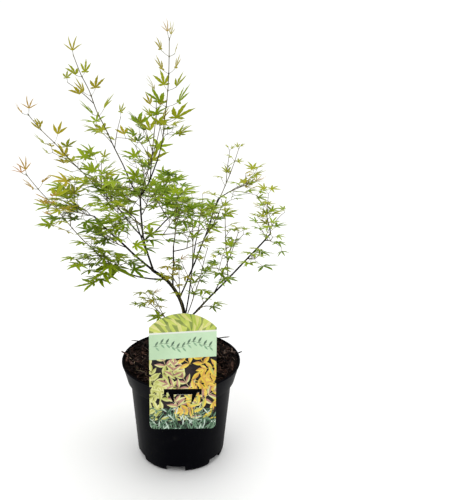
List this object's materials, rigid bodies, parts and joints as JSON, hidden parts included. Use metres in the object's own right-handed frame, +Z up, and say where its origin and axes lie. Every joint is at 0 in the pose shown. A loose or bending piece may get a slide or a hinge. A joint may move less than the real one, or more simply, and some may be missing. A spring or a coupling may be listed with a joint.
{
  "type": "young japanese maple in a nursery pot",
  "caption": "Young japanese maple with upright and spreading boughs of finely lobed leaves, in a round black nursery pot filled with bark mulch, with a picture label on the rim.",
  "frame": {"origin": "centre of the pot's flat underside, on the ground", "axes": "+Z up; the label's printed face looks along -Y"},
  "size_m": [0.4164, 0.327, 0.6997],
  "materials": {
    "pot": "black moulded plastic with a soft sheen",
    "mulch": "moist dark brown bark chips",
    "label": "printed plastic card",
    "bark": "smooth dark bark on thin limbs",
    "foliage": "thin matte leaves, mid green to yellow green, orange at the tips"
  },
  "bodies": {
    "root": {"pot": "pot", "mulch": "mulch", "label": "label", "trunk": "bark", "main_stem": "bark", "leader_foot": "bark", "leader": "bark", "upper_left_bough": "bark", "left_bough": "bark", "mid_left_bough": "bark", "low_left_bough": "bark", "centre_bough": "bark", "back_bough": "bark", "back_left_bough": "bark", "right_middle_bough": "bark", "right_bough": "bark", "back_right_bough": "bark", "leader_shoot": "foliage", "crown_shoot": "foliage", "back_crown_shoot": "foliage", "upper_left_shoot": "foliage", "mid_left_shoot": "foliage", "mid_left_inner_shoot": "foliage", "left_shoot": "foliage", "left_inner_shoot": "foliage", "low_left_shoot": "foliage", "low_left_front_shoot": "foliage", "centre_shoot": "foliage", "centre_low_shoot": "foliage", "centre_left_shoot": "foliage", "centre_inner_shoot": "foliage", "centre_right_shoot": "foliage", "back_shoot": "foliage", "back_inner_shoot": "foliage", "back_left_shoot": "foliage", "right_middle_shoot": "foliage", "right_inner_shoot": "foliage", "right_upper_shoot": "foliage", "right_shoot": "foliage", "right_tip_shoot": "foliage", "right_low_shoot": "foliage", "right_thin_shoot": "foliage", "front_right_shoot": "foliage", "back_right_shoot": "foliage", "back_low_shoot": "foliage", "low_right_shoot": "foliage", "low_front_shoot": "foliage", "low_left_foot_shoot": "foliage", "low_right_foot_shoot": "foliage"}
  },
  "joints": []
}
